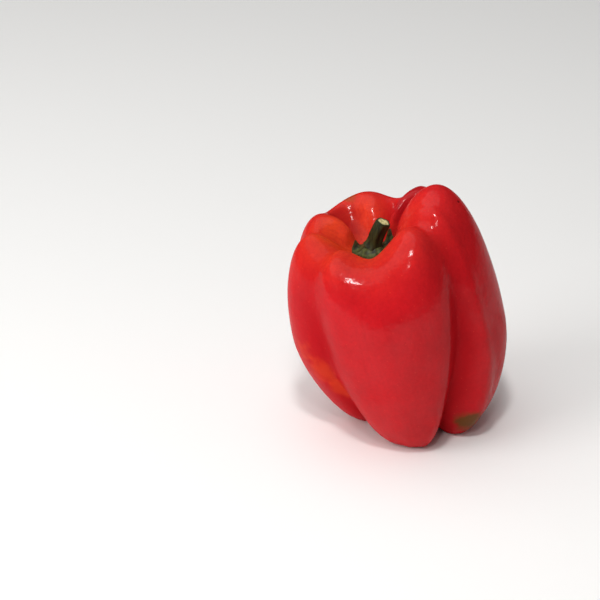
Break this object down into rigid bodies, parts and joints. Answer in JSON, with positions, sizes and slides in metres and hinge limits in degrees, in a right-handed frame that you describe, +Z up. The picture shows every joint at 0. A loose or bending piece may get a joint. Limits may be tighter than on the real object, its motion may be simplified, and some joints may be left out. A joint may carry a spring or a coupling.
{
  "type": "bell pepper",
  "caption": "Upright blocky sweet pepper with rounded lobes, deep grooves, a sunken crown, a small green calyx and a short cut stem.",
  "frame": {"origin": "On the ground, under the middle of the bounding box, between the lobe tips that the pepper stands on.", "axes": "+Z is up, from the blossom end to the stem. -Y is the front, the broad lobe with the lowest rim. The tallest lobe is on the +X side, and the fruit leans a little to -X."},
  "size_m": [0.0909, 0.0828, 0.1053],
  "materials": {
    "skin": "smooth waxy skin, glossy",
    "calyx": "matt, slightly leathery",
    "stem": "matt, fibrous"
  },
  "bodies": {
    "root": {"fruit": "skin", "calyx": "calyx", "stem": "stem"}
  },
  "joints": []
}
